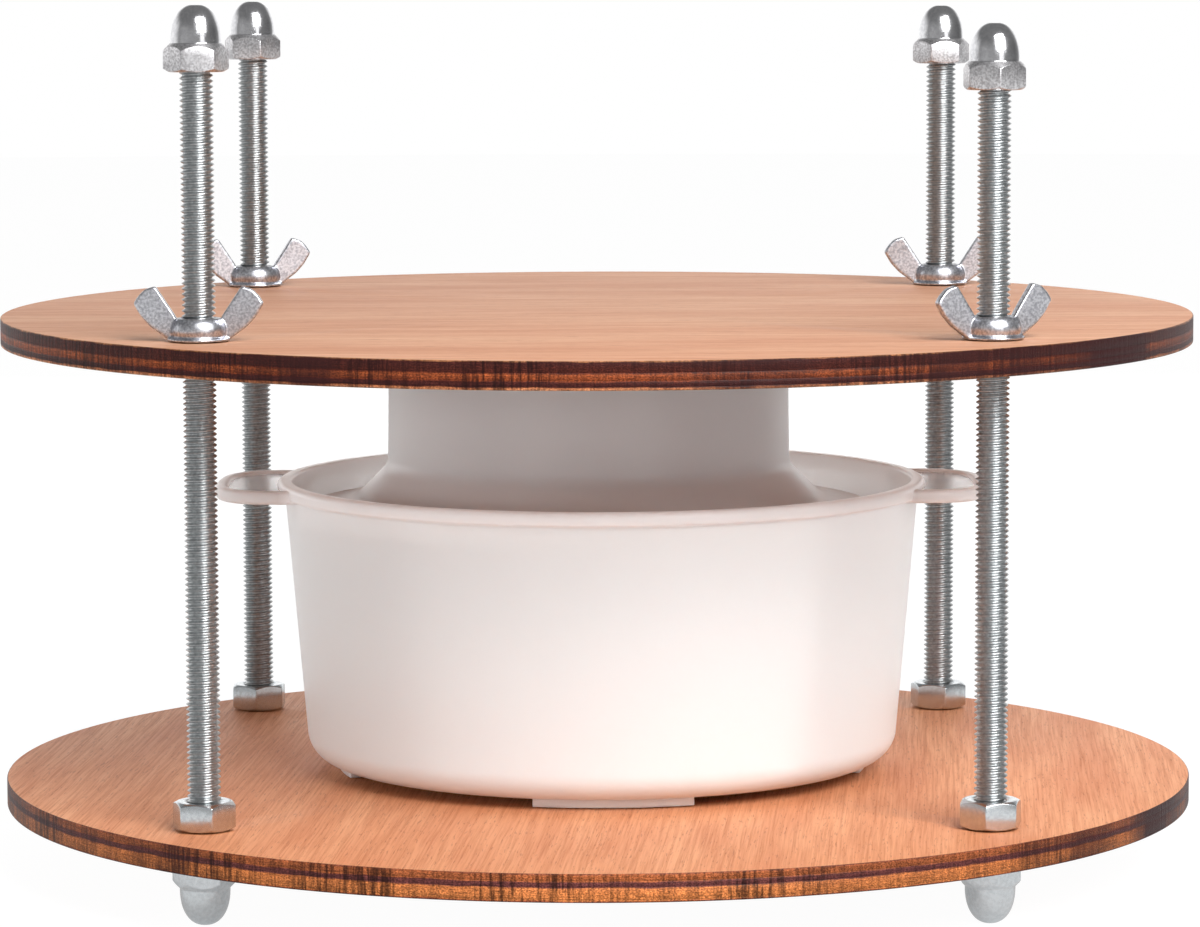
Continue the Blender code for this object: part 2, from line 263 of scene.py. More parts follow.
def remove(*objects):
    for old in objects:
        bpy.data.objects.remove(old, do_unlink=True)


def combine(piece, operation, *tools):
    for tool in tools:
        settle(piece.modifiers.new(tool.name, "BOOLEAN"), operation=operation, object=tool,
               solver="MANIFOLD")
    bakeInto(piece)
    remove(*tools)


def shade(mesh, sharpDegrees):
    mesh.shade_smooth()
    mesh.set_sharp_from_angle(angle=radians(sharpDegrees))


def place(piece, body, slot, *nodes):
    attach(piece, body)
    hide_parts(*nodes)


def grownByNodes(name, tree, values, start=None):
    # Runs a node tree on the start mesh and keeps its result as a plain mesh at the origin
    maker = newObject(name + "Maker", start or bpy.data.meshes.new(name + "Start"))
    modifier = maker.modifiers.new("nodes", "NODES")
    modifier.node_group = tree
    for item in tree.interface.items_tree:
        if item.item_type == "SOCKET" and item.in_out == "INPUT" and item.name in values:
            modifier[item.identifier] = values[item.name]
    mesh = bakedMesh(maker, name)
    remove(maker)
    return mesh


def footOf(node, fromTop=False):
    # The middle of a node's underside, or of its top
    low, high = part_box(node)
    return (low.x + high.x) / 2, (low.y + high.y) / 2, high.z if fromTop else low.z


# Zinc-plated steel, drawn, rolled or cold formed. The plating is a bright grey mirror, a little
# blurred, with a fine mottle that shows as specks in its highlights.

zincFinishes = {  # grain and relief in millimetres
    "polishedZincCap": {"bright": "#d4d4d6", "dull": "#c6c6c9", "rough": (0.12, 0.22),
                        "grain": 0.9, "relief": 0.002},
    "sawnZincHexagon": {"bright": "#dedddf", "dull": "#a8a6a8", "rough": (0.30, 0.42),
                        "grain": 0.5, "relief": 0.014},
    "satinZincNut": {"bright": "#d2d7da", "dull": "#c8cdd0", "rough": (0.19, 0.26),
                     "grain": 0.85, "relief": 0.004},
    "tumbledZincWing": {"bright": "#d8d9de", "dull": "#a3a4ab", "rough": (0.29, 0.38),
                        "grain": 0.62, "relief": 0.028},
    "rolledZincThread": {"bright": "#bbbebf", "dull": "#a1a4a5", "rough": (0.29, 0.37),
                         "grain": 0.8, "relief": 0.001},
}

zincMottle = {
    "cloudGrains": 6,           # grains across a cloud
    "clouded": (0.15, 0.38),    # the part of grain times cloud that changes the roughness
    "spotted": (0.38, 0.62),    # the part of the grain that changes the colour
}


def makeZinc(name, look, pattern):
    material, tree, shader, objectPlace = newMaterial(name)
    mottle = noiseAt(tree, objectPlace, (look["grain"],) * 3, detail=2.0, rough=0.6)
    cloud = look["grain"] * pattern["cloudGrains"]
    clouds = noiseAt(tree, objectPlace, (cloud,) * 3, detail=2.0)
    dullness = addNode(tree, "Math", {0: mottle, 1: clouds}, operation="MULTIPLY")
    rough = addNode(tree, "MapRange",
                    {"Value": dullness, "From": pattern["clouded"], "To": look["rough"]})
    spots = addNode(tree, "MapRange", {"Value": mottle, "From": pattern["spotted"]})
    colour = addNode(tree, "Mix", {"Factor": spots, "A": look["bright"], "B": look["dull"]},
                     data_type="RGBA")
    finishMaterial(tree, shader, look["relief"], mottle, {
        "Base Color": colour, "Metallic": 1.0, "Roughness": rough})
    return material


zinc = {name: makeZinc(name, look, zincMottle) for name, look in zincFinishes.items()}


# Threaded rods: M8 studding. A ridge of the thread runs along each row of a grid that is wound
# up into a helix, so the thread is one unbroken surface from end to end.

rodSizes = {  # under the names of the tree's inputs
    "Crest Radius": 0.00388, "Thread Depth": 0.00072, "Pitch": 0.00125, "End Radius": 0.0031,
    "Segments": 32, "Steps Per Turn": 8, "Crest Share": 0.10, "Root Share": 0.22,
    "Weld Distance": 0.000002,
}

# The sums that wind the grid up: an operation and what goes in, which may be a sum itself. X and
# Y are places on the grid, from -0.5 to 0.5, and None stands for a Map Range.
threadSums = {
    # One turn more than the rod has, and a step, so that both ends close on the seam
    "step": ("DIVIDE", 1.0, "Steps Per Turn"),
    "lead": ("ADD", 1.0, "step"),
    "turns": ("CEIL", ("ADD", ("DIVIDE", "Length", "Pitch"), ("ADD", "lead", "step"))),
    "rows": ("MULTIPLY", "turns", "Steps Per Turn"),
    "pointsAcross": ("ADD", "Segments", 1.0),
    "pointsUp": ("ADD", "rows", 1.0),
    "across": ("ADD", "X", 0.5),
    "row": ("ROUND", ("MULTIPLY", ("ADD", "Y", 0.5), "rows")),
    "turn": ("DIVIDE", "row", "Steps Per Turn"),
    "climb": ("MULTIPLY", ("ADD", ("SUBTRACT", "turn", "lead"), "across"), "Pitch"),
    "height": ("MINIMUM", ("MAXIMUM", "climb", 0.0), "Length"),
    # A triangle wave from ridge to groove, with a flat crest and a wider flat root
    "wave": ("ABSOLUTE", ("SUBTRACT", ("MULTIPLY", ("FRACT", "turn"), 2.0), 1.0)),
    "ridge": (None, "wave", "Root Share", ("SUBTRACT", 1.0, "Crest Share")),
    "groove": ("MULTIPLY", "Thread Depth", ("SUBTRACT", 1.0, "ridge")),
    "threaded": ("SUBTRACT", "Crest Radius", "groove"),
    # The ends are chamfered, and the grid's first and last rows close them in a point
    "fromEnd": ("MINIMUM", "height", ("SUBTRACT", "Length", "height")),
    "narrowed": ("MINIMUM", "threaded", ("ADD", "End Radius", "fromEnd")),
    "betweenEnds": ("LESS_THAN", ("ABSOLUTE", "Y"), 0.49999),
    "radius": ("MULTIPLY", "narrowed", "betweenEnds"),
    "angle": ("MULTIPLY", "across", 2 * pi),
    "aside": ("MULTIPLY", "radius", ("COSINE", "angle")),
    "behind": ("MULTIPLY", "radius", ("SINE", "angle")),
}


def threadTree(values, sums):
    tree, given, result = newTree("threadedRod", values)
    gridPlace = addNode(tree, "SeparateXYZ",
                        {"Vector": addNode(tree, "GeometryNodeInputPosition")})
    made = {socket.name: socket for socket in [*given, *gridPlace.outputs]}

    def worked(term):
        if not isinstance(term, tuple):
            return made.get(term, term)
        terms = {i: worked(part) for i, part in enumerate(term[1:])}
        if term[0]:
            return addNode(tree, "Math", terms, operation=term[0])
        return addNode(tree, "MapRange", terms)

    for label, term in sums.items():
        made[label] = worked(term)
    grid = addNode(tree, "GeometryNodeMeshGrid", {
        "Size X": 1.0, "Size Y": 1.0, "Vertices X": made["pointsAcross"],
        "Vertices Y": made["pointsUp"]})
    wound = addNode(tree, "CombineXYZ",
                    {"X": made["aside"], "Y": made["behind"], "Z": made["height"]})
    helix = addNode(tree, "GeometryNodeSetPosition",
                    {"Geometry": grid.outputs["Mesh"], "Position": wound})
    welded = addNode(tree, "GeometryNodeMergeByDistance",
                     {"Geometry": helix, "Distance": given["Weld Distance"]})
    standing = addNode(tree, "GeometryNodeTransform",
                       {"Geometry": welded, "Translation": given["Foot"]})
    return finishTree(tree, result, standing, (given["Finish"], True))


def makeRods(sizes):
    tree = None
    for corner in cornerNames:
        node = f"threaded_rod_{corner}"
        low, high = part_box(node)
        values = {**sizes, "Length": high.z - low.z, "Foot": footOf(node),
                  "Finish": zinc["rolledZincThread"]}
        tree = tree or threadTree(values, threadSums)
        mesh = grownByNodes(f"rod_{corner}", tree, values)
        mesh.shade_smooth()
        place(newObject(f"rod_{corner}", mesh), "base", "zinc_steel", node)


makeRods(rodSizes)
print("threaded rods made")


# Nuts: one fine pattern of each kind, stood on every rod by a node tree

nutSizes = {
    "acrossFlats": 0.0130, "cornerRound": 0.00035, "boreRadius": 0.00395, "countersink": 0.0005,
    "chamferShare": 0.95, "chamferDegrees": 30, "edgeSoftness": 0.00012,
    "softOver": 24,         # degrees between faces
    "sharpOver": 40,        # degrees between faces
    "flatsFrom": 0.91,      # share of the way out to the flats
    "flatSteps": 8, "cornerSteps": 4, "softSteps": 2,
    "turns": (48, 17, 28, 42),  # degrees, in the order of cornerNames
}

capSizes = {
    "hexHeight": 0.0065, "domeRadius": 0.0058, "domeFullness": 2.3, "domeFlat": 0.0016,
    "domeSteps": 24, "boreDepth": 0.011, "shoulderDegrees": 45,
    "topTurns": (8, 36, 50, 6),
    "footTurns": (2, 35, 20, 50),
}


def hexagonOutline(sizes):
    # Six flats between small rounded corners, which lie at 0, 60, 120 ... degrees
    out = (sizes["acrossFlats"] / 2 - sizes["cornerRound"]) / cos(pi / 6)
    corners = [arc(out * cos(k * pi / 3), out * sin(k * pi / 3), sizes["cornerRound"],
                   60 * k - 30, 60 * k + 30, sizes["cornerSteps"]) for k in range(6)]
    outline, steps = [], sizes["flatSteps"]
    for k, corner in enumerate(corners):
        (x1, y1), (x2, y2) = corner[-1], corners[(k + 1) % 6][0]
        outline += corner + [(x1 + (x2 - x1) * i / steps, y1 + (y2 - y1) * i / steps)
                             for i in range(1, steps)]
    return outline


def roundRing(outline, radius, height):
    # A circle whose points lie at the hexagon's angles, so that rings join without a twist
    return [(radius * cos(atan2(y, x)), radius * sin(atan2(y, x)), height) for x, y in outline]


def chamferedRing(outline, height, circle, chamferDegrees, direction):
    slope = tan(radians(chamferDegrees))
    return [(x, y, height + direction * max(0, hypot(x, y) - circle) * slope) for x, y in outline]


def footRings(outline, sizes):
    # Up from inside the bore: the countersink, the seat and the chamfered corners
    bore, sink = sizes["boreRadius"], sizes["countersink"]
    circle = sizes["acrossFlats"] / 2 * sizes["chamferShare"]
    return [roundRing(outline, bore, sink), roundRing(outline, bore + sink, 0),
            roundRing(outline, circle, 0),
            chamferedRing(outline, 0, circle, sizes["chamferDegrees"], 1)]


def softened(name, mesh, sizes):
    piece = newObject(name, mesh)
    settle(piece.modifiers.new("edges", "BEVEL"), width=sizes["edgeSoftness"],
           segments=sizes["softSteps"], limit_method="ANGLE",
           angle_limit=radians(sizes["softOver"]), harden_normals=False)
    bakeInto(piece)
    shade(piece.data, sizes["sharpOver"])
    # The flats and their corners are marked, because their finish can differ from the dome's
    flats = piece.data.attributes.new("flat", "BOOLEAN", "FACE")
    for face in piece.data.polygons:
        flats.data[face.index].value = (
            hypot(face.center.x, face.center.y) > sizes["acrossFlats"] / 2 * sizes["flatsFrom"])
    return piece


def hexNutPattern(sizes, height):
    lower = footRings(hexagonOutline(sizes), sizes)
    upper = [[(x, y, height - z) for x, y, z in ring] for ring in reversed(lower)]
    return softened("hexNutPattern", skinned("hexNut", lower + upper, closed=True), sizes)


def capNutPattern(sizes, cap):
    outline = hexagonOutline(sizes)
    low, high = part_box("foot_cap_nut_front_left")
    domeHeight = high.z - low.z - cap["hexHeight"]
    rings = [
        [(0, 0, cap["boreDepth"])],
        roundRing(outline, sizes["boreRadius"], cap["boreDepth"]),
        *footRings(outline, sizes),
        chamferedRing(outline, cap["hexHeight"], cap["domeRadius"], cap["shoulderDegrees"], -1),
    ]
    full = cap["domeFullness"]
    topShare = (1 - (cap["domeFlat"] / cap["domeRadius"]) ** full) ** (1 / full)
    for i in range(cap["domeSteps"] + 1):
        rise = topShare * sin(pi / 2 * i / cap["domeSteps"])
        radius = cap["domeRadius"] * (1 - rise ** full) ** (1 / full)
        rings.append(roundRing(outline, radius, cap["hexHeight"] + domeHeight * rise / topShare))
    rings.append([(0, 0, cap["hexHeight"] + domeHeight)])
    return softened("capNutPattern", skinned("capNut", rings), sizes)


def nutTree(values):
    tree, given, result = newTree("nutsOnRods", values)
    turn = addNode(tree, "GeometryNodeInputNamedAttribute", {"Name": "turn"}, data_type="FLOAT")
    euler = addNode(tree, "CombineXYZ", {"X": given["Tip Over"], "Z": turn})
    rotation = addNode(tree, "FunctionNodeEulerToRotation", {"Euler": euler})
    pattern = addNode(tree, "GeometryNodeObjectInfo", {"Object": given["Pattern"]})
    nuts = addNode(tree, "GeometryNodeInstanceOnPoints", {
        "Points": given["Geometry"], "Instance": pattern.outputs["Geometry"],
        "Rotation": rotation})
    flats = addNode(tree, "GeometryNodeInputNamedAttribute", {"Name": "flat"},
                    data_type="BOOLEAN")
    return finishTree(tree, result, nuts, (given["Finish"], True), (given["Flat Finish"], flats))


def makeNuts(sizes, cap):
    low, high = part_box("base_hex_nut_front_left")
    hexNut = hexNutPattern(sizes, high.z - low.z)
    capNut = capNutPattern(sizes, cap)
    satin = zinc["satinZincNut"]
    tree = None
    for name, stem, pattern, turns, finish, flatFinish, tipped in (
            ("baseHexNuts", "base_hex_nut", hexNut, sizes["turns"], satin, satin, False),
            ("topCapNuts", "top_cap_nut", capNut, cap["topTurns"], zinc["polishedZincCap"],
             zinc["sawnZincHexagon"], False),
            ("footCapNuts", "foot_cap_nut", capNut, cap["footTurns"], satin, satin, True)):
        nodes = [f"{stem}_{corner}" for corner in cornerNames]
        points = bpy.data.meshes.new(name + "Seats")
        points.from_pydata([footOf(node, tipped) for node in nodes], [], [])
        spin = points.attributes.new("turn", "FLOAT", "POINT")
        for point, turn in zip(spin.data, turns):
            point.value = radians(turn)
        values = {"Pattern": pattern, "Tip Over": pi if tipped else 0.0, "Finish": finish,
                  "Flat Finish": flatFinish}
        tree = tree or nutTree(values)
        mesh = grownByNodes(name, tree, values, points)
        shade(mesh, sizes["sharpOver"])
        place(newObject(name, mesh), "base", "zinc_steel", *nodes)
    remove(hexNut, capNut)


makeNuts(nutSizes, capSizes)
print("nuts made")


# Wing nuts: cold formed, so the hub and the wings flow into each other and every edge is soft

wingSizes = {
    "boreRadius": 0.00395, "countersink": 0.0006, "hubRadius": 0.00635, "hubHeight": 0.0051,
    "hubBulge": 0.0034, "bulgeHeight": 0.0024,
    "bulgeDegrees": (-25, 52),
    "flangeRadius": 0.0071, "flangeHeight": 0.0005, "flangeChamfer": 0.0001,
    "thickness": 0.0022, "edgeRound": 0.00045,
    "faceInset": 2.2,  # how many edge rounds in from its outline a wing is flat
    "cornerRound": 0.0006, "segments": 96, "voxel": 0.00017, "smoothing": 4,
    # Outline of a wing, out from the rod's axis and up from the base, in metres
    "outline": [(0.0050, 0.0016), (0.0051, 0.0053), (0.00975, 0.01235), (0.0121, 0.01165),
                (0.0136, 0.0102), (0.01478, 0.0084), (0.0130, 0.0054), (0.0109, 0.0031),
                (0.0070, 0.00025)],
    "turns": (0, 25, 14, 2),
}


def wingMesh(sizes, side):
    half, soft = sizes["thickness"] / 2, sizes["edgeRound"]
    corners = [Vector((side * x, z)) for x, z in sizes["outline"]]
    outline = []
    for i, corner in enumerate(corners):
        outline += roundedCorner(corners[i - 1], corner, corners[(i + 1) % len(corners)],
                                 sizes["cornerRound"], 4)
    middle = sum(outline, Vector((0, 0))) / len(outline)
    # How deep each ring lies under a face and how far in from the outline
    edge = [(0, soft * sizes["faceInset"])]
    edge += [(soft * (1 - cos(radians(a))), soft * (1 - sin(radians(a))))
             for a in (0, 30, 60, 90)]
    rings = []
    for depth, inset in ([(-half + under, inset) for under, inset in edge]
                         + [(half - under, inset) for under, inset in reversed(edge)]):
        ring = []
        for i, point in enumerate(outline):
            ahead = outline[(i + 1) % len(outline)] - outline[i - 1]
            inward = Vector((-ahead.y, ahead.x)).normalized()
            if inward.dot(middle - point) < 0:
                inward = -inward
            moved = point + inward * inset
            ring.append((moved.x, depth, moved.y))
        rings.append(ring)
    return skinned("wing", rings)


def wingNutPattern(sizes):
    bore, sink, bulge = sizes["boreRadius"], sizes["countersink"], sizes["hubBulge"]
    flange, chamfer, top = sizes["flangeRadius"], sizes["flangeChamfer"], sizes["hubHeight"]
    # A barrel-shaped hub over a flared foot
    barrel = arc(sizes["hubRadius"] - bulge, sizes["bulgeHeight"], bulge,
                 *sizes["bulgeDegrees"], 12)
    profile = [
        (bore, sink), (bore + sink / 2, 0), (flange - chamfer, 0), (flange, chamfer),
        (flange, sizes["flangeHeight"]), *barrel, (bore + sink / 2, top), (bore, top - sink)]
    piece = newObject("wingNutPattern",
                      turned("wingNutHub", profile, sizes["segments"], closed=True))
    combine(piece, "UNION", *[newObject("wing", wingMesh(sizes, side)) for side in (-1, 1)])
    settle(piece.modifiers.new("flow", "REMESH"), mode="VOXEL", voxel_size=sizes["voxel"])
    settle(piece.modifiers.new("soften", "SMOOTH"), factor=0.5, iterations=sizes["smoothing"])
    bakeInto(piece)
    return piece


def makeWingNuts(sizes):
    pattern = wingNutPattern(sizes)
    for corner, turn in zip(cornerNames, sizes["turns"]):
        node = f"wing_nut_{corner}"
        mesh = pattern.data.copy()
        mesh.transform(Matrix.Translation(footOf(node)) @ Matrix.Rotation(radians(turn), 4, "Z"))
        mesh.shade_smooth()
        piece = newObject(f"wingNut_{corner}", mesh, zinc["tumbledZincWing"])
        place(piece, node, "zinc_steel", node)
    remove(pattern)


makeWingNuts(wingSizes)
print("wing nuts made")


# Plywood discs. The faces are rotary-cut veneer, sanded and oiled: a soft sheen over fine
# straight grain with short dark pores. The rim is cut by a laser, which leaves the plies in
# bands, burnt dark where the grain ends meet the cut and amber where it runs along it. Over
# that, char colour is laid on with a strength that changes from the rim's left end to its
# right end. That change is painted shade and a painted sheen, not burn.

discLooks = {
    "upper_disc": {
        "body": "pressing_disc", "slot": "upper_plywood", "grainTurn": 1,
        # The wood's tone, then what lies over it, from nothing to the strength given
        "base": "#ba8465",
        "layers": {"clouds": ("#c79879", 1.0), "fibres": ("#986145", 0.62),
                   "pores": ("#774934", 0.55)},
        # Plies: shares of the way up the rim, with the colour there
        "plies": [(0.00, "#c98f66"), (0.08, "#a8643f"), (0.12, "#3a1815"), (0.28, "#401a14"),
                  (0.33, "#7e3b1d"), (0.52, "#8f4723"), (0.60, "#4b1f14"), (0.95, "#3a1814"),
                  (1.00, "#b57a50")],
        # Painted shade and sheen: how strongly char colour is laid on, from the rim's left end to
        # its right end, darker where less light reaches the rim and paler where it would catch a
        # sheen
        "charAndShadeAcross": [(0.0, 0.0), (0.12, 0.35), (0.28, 0.65), (0.5, 0.46), (0.8, 0.64), (1.0, 1.1)],
    },
    "lower_disc": {
        "body": "base", "slot": "lower_plywood", "grainTurn": 86,
        "base": "#bf7c55",
        "layers": {"clouds": ("#cd9068", 1.0), "fibres": ("#9d5e3a", 0.7),
                   "pores": ("#7c4a2c", 0.55)},
        "plies": [(0.00, "#57302a"), (0.05, "#8b4a2a"), (0.09, "#b86f3d"), (0.48, "#b46a3a"),
                  (0.53, "#5d3230"), (0.69, "#5a2f2c"), (0.74, "#98542f"), (0.94, "#9a5531"),
                  (1.00, "#7c4736")],
        # Painted shade: char colour laid on more strongly towards the rim's two ends, where it
        # turns from the light
        "charAndShadeAcross": [(0.0, 0.8), (0.25, 0.42), (0.5, 0.05), (0.75, 0.38), (1.0, 1.0)],
    },
}

discSizes = {
    "segments": 288, "edgeRound": 0.00035, "plyGroove": 0.00005, "holeRadius": 0.0045,
    "holeSegments": 64, "drillSpare": 0.002,
    "sharpOver": 50,        # degrees between faces
    "levelOver": 0.9,       # how upright a face's normal is where veneer begins
}

veneerGrain = {  # millimetres
    # Length and width, the noise's detail and roughness, and the part of it that shows
    "layers": {"clouds": (90, 14, 3.0, 0.6, (0.34, 0.66)),
               "fibres": (32, 0.55, 4.0, 0.65, (0.42, 0.72)),
               "pores": (4.5, 0.38, 1.0, 0.5, (0.62, 0.74))},
    "bend": 60,             # from one slow bend of the grain to the next
    "drift": 1.6,           # how far a bend carries it
    "relief": 0.03,
    "waxed": (0.3, 0.7),  # the part of the fibres that changes the roughness
    "rough": (0.52, 0.68),
    "gloss": 0.35,
}

# Patterns on the cut rim: width round it and height up it in millimetres, the noise's detail,
# the part of it that shows and what that part becomes
rimPatterns = {
    "wander": (9, 2.5, 2.0, (0.0, 1.0), (-0.07, 0.07)),  # of the lines between plies
    "specks": (0.42, 0.30, 2.0, (0.36, 0.66), (0.45, 1.45)),
    "streaks": (5.0, 0.22, 2.0, (0.36, 0.66), (0.7, 1.25)),
    "dashes": (1.0, 12.0, 2.0, (0.42, 0.60), (1.25, 0.25)),     # upright burn marks
    "depths": (17, 60, 1.0, (0.40, 0.60), (0.8, 0.25)),         # how dark the dashes are
    "patches": (26, 60, 2.0, (0.38, 0.62), (0.6, 1.3)),
}

rimFinish = {
    "char": "#2c1414",
    "rough": 0.42,
    "gloss": 0.10,
    "relief": 0.05,         # millimetres
    "bump": 0.8,            # share of the relief that shows
}


def makeVeneer(name, look, grain):
    material, tree, shader, objectPlace = newMaterial(name)
    aligned = addNode(tree, "Mapping", {
        "Vector": objectPlace, "Rotation": (0, 0, radians(-look["grainTurn"]))})
    bends = noiseAt(tree, objectPlace, (grain["bend"],) * 3, detail=1.0)
    drift = addNode(tree, "Math", {0: bends, 1: grain["drift"] * millimetre},
                    operation="MULTIPLY")
    drifted = addNode(tree, "VectorMath", {
        0: aligned, 1: addNode(tree, "CombineXYZ", {"Y": drift})}, operation="ADD")
    tone, patterns = look["base"], {}
    for label, (length, width, detail, noiseRough, shown) in grain["layers"].items():
        patterns[label] = noiseAt(tree, drifted, (length, width, width), detail, noiseRough)
        colour, strength = look["layers"][label]
        share = addNode(tree, "MapRange", {
            "Value": patterns[label], "From": shown, "To": (0.0, strength)})
        tone = addNode(tree, "Mix", {"Factor": share, "A": tone, "B": colour}, data_type="RGBA")
    rough = addNode(tree, "MapRange", {
        "Value": patterns["fibres"], "From": grain["waxed"], "To": grain["rough"]})
    finishMaterial(tree, shader, grain["relief"], patterns["fibres"], {
        "Base Color": tone, "Roughness": rough, "Specular IOR Level": grain["gloss"]})
    return material


def makeBurntEdge(name, look, radius, lowZ, highZ):
    material, tree, shader, objectPlace = newMaterial(name)
    made = {}
    for label, (width, height, detail, shown, becomes) in rimPatterns.items():
        noise = noiseAt(tree, objectPlace, (width, width, height), detail, rough=0.6)
        made[label] = addNode(tree, "MapRange", {"Value": noise, "From": shown, "To": becomes})
    fillInputs(tree, made["dashes"], {"To Max": made["depths"]})
    apart = addNode(tree, "SeparateXYZ", {"Vector": objectPlace}).outputs
    rise = addNode(tree, "MapRange", {"Value": apart["Z"], "From": (lowZ, highZ)})
    share = addNode(tree, "Math", {0: rise, 1: made["wander"]}, operation="ADD")
    plies = addNode(tree, "ValToRGB", {"Fac": share}, stops=look["plies"])
    across = addNode(tree, "MapRange", {"Value": apart["X"], "From": (-radius, radius)})
    # Painted shade and sheen: char colour laid on by where the rim lies from left to right, as
    # light falls on it
    charAndShadeAcross = addNode(tree, "ValToRGB", {"Fac": across}, stops=look["charAndShadeAcross"])
    charAndShadeShare = addNode(tree, "Math", {0: charAndShadeAcross, 1: made["patches"]},
                   operation="MULTIPLY", use_clamp=True)
    grain = made["specks"]
    for label in ("streaks", "dashes"):
        grain = addNode(tree, "Math", {0: grain, 1: made[label]}, operation="MULTIPLY")
    shaded = addNode(tree, "VectorMath", {0: plies, 3: grain}, operation="SCALE")
    charredAndShadedPlies = addNode(tree, "Mix", {
        "Factor": charAndShadeShare, "A": shaded, "B": rimFinish["char"]}, data_type="RGBA")
    finishMaterial(tree, shader, rimFinish["relief"], grain, {
        "Base Color": charredAndShadedPlies, "Roughness": rimFinish["rough"],
        "Specular IOR Level": rimFinish["gloss"]}, rimFinish["bump"])
    return material


def rimProfile(radius, lowZ, highZ, look, sizes):
    soft, groove = sizes["edgeRound"], sizes["plyGroove"]
    rise = highZ - lowZ
    side = []
    for k in range(2, len(look["plies"]) - 2, 2):
        at = lowZ + rise * look["plies"][k][0]
        side += [(radius, at - groove), (radius - groove, at), (radius, at + groove)]
    return [(0, lowZ), *arc(radius - soft, lowZ + soft, soft, -90, 0, 4), *side,
            *arc(radius - soft, highZ - soft, soft, 0, 90, 4), (0, highZ)]


def makeDiscs(looks, sizes):
    for node, look in looks.items():
        low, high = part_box(node)
        radius = (high.x - low.x) / 2
        disc = newObject(node + "Plywood", turned(
            node, rimProfile(radius, low.z, high.z, look, sizes), sizes["segments"]))
        drills = []
        for corner in cornerNames:
            drill = turned("drill", [(sizes["holeRadius"], low.z - sizes["drillSpare"]),
                                     (sizes["holeRadius"], high.z + sizes["drillSpare"])],
                           sizes["holeSegments"])
            x, y, _ = footOf(f"threaded_rod_{corner}")
            drill.transform(Matrix.Translation((x, y, 0)))
            drills.append(newObject("drill", drill))
        combine(disc, "DIFFERENCE", *drills)
        disc.data.materials.clear()
        disc.data.materials.append(makeVeneer(f"oiledVeneer_{node}", look, veneerGrain))
        disc.data.materials.append(
            makeBurntEdge(f"laserCutPlies_{node}", look, radius, low.z, high.z))
        for face in disc.data.polygons:
            face.material_index = 0 if abs(face.normal.z) > sizes["levelOver"] else 1
        shade(disc.data, sizes["sharpOver"])
        place(disc, look["body"], look["slot"], node)


makeDiscs(discLooks, discSizes)
print("discs made")


# Mould and piston: injection moulded natural polypropylene, milky and slightly translucent, with
# a soft waxy gloss and faint waves left by the tool. The thin web of the ears is clearer, so what
# stands behind it shows through as a grey shape. The piston has a greyer colour than the mould,
# as painted shade for where it stands under the upper disc, and the mould's collar and ears
# are coloured greyer too, as painted shade.

plasticLooks = {
    # The milky plastic's second colour is painted shade, laid on the collar's outer face and the
    # ears
    "milkyPolypropylene": {"colour": "#f2f5f8", "paintedEarShade": "#cdcbcb", "rough": (0.29, 0.35),
                           "milk": 1.0, "clear": 0.0, "gloss": 0.5},
    "earWebPolypropylene": {"colour": "#fbf6f5", "rough": (0.20, 0.26),
                            "milk": 1.0, "clear": 0.8, "gloss": 0.1},
    # Painted shade: a greyer copy of the milky plastic, for the piston standing in the upper
    # disc's shade
    "greyedPolypropylene": {"colour": "#cfcccc", "rough": (0.29, 0.35),
                            "milk": 0.9, "clear": 0.0, "gloss": 0.5},
}

plasticGrain = {  # millimetres
    "wave": 11,
    "grit": 0.6,
    "gritShare": 0.03,
    "waxed": (0.3, 0.7),  # the part of the waves that changes the roughness
    "relief": 0.05,
    "scatter": 8,  # how far light spreads inside
    "spread": (1.0, 0.98, 0.97),  # share of that for red, green and blue
    "refraction": 1.49,
}

mouldSizes = {
    "shift": 0.0010, "rimRadius": 0.0778, "draft": 0.0060, "wall": 0.0020, "floor": 0.0022,
    "cornerRadius": 0.0075, "collarHeight": 0.0033, "collarWidth": 0.0016, "lipRadius": 0.0008,
    "rimRound": 0.0014, "footHeight": 0.0021, "footWidth": 0.0030, "footRound": 0.0004,
    "footCount": 4, "footSweep": 34, "footTurn": 2.5, "earReach": 0.0176, "earWidth": 0.051,
    "earThickness": 0.0033, "earDrop": 0.0008, "earBand": 0.0034, "earWeb": 0.0025,
    "earSquareness": 3, "bandSquareness": 3, "earRoot": 0.0035,
    "earSpread": 0.7,  # how much wider the band is where it leaves the collar
    "earSpreadReach": 0.0065, "segments": 256, "wallSteps": 12, "cornerSteps": 16,
    "earSteps": 72, "bandSteps": 24, "footSteps": 32,
    "sharpOver": 40,  # degrees between faces
}

drainSizes = {"Drain Radius": 0.0015, "Ring Spacing": 0.016, "Drains Per Ring": 6,
              "Segments": 24}
drainRings = 3

pistonSizes = {
    "shift": 0.0031, "clearance": 0.0018, "wall": 0.0024, "floor": 0.0030,
    "cornerRadius": 0.0060, "shoulderHeight": 0.0600, "shoulderWidth": 0.0131,
    "slopeHeight": 0.0022, "edgeRadius": 0.0020, "edgeDegrees": 80, "flareWidth": 0.0084,
    "flareHeight": 0.0078, "flareRound": 0.0012, "neckTaper": 0.0004, "neckRound": 0.0022,
    "lipRound": 0.0004, "seatGap": 0.0003, "segments": 256,
    "sharpOver": 30,  # degrees between faces
}


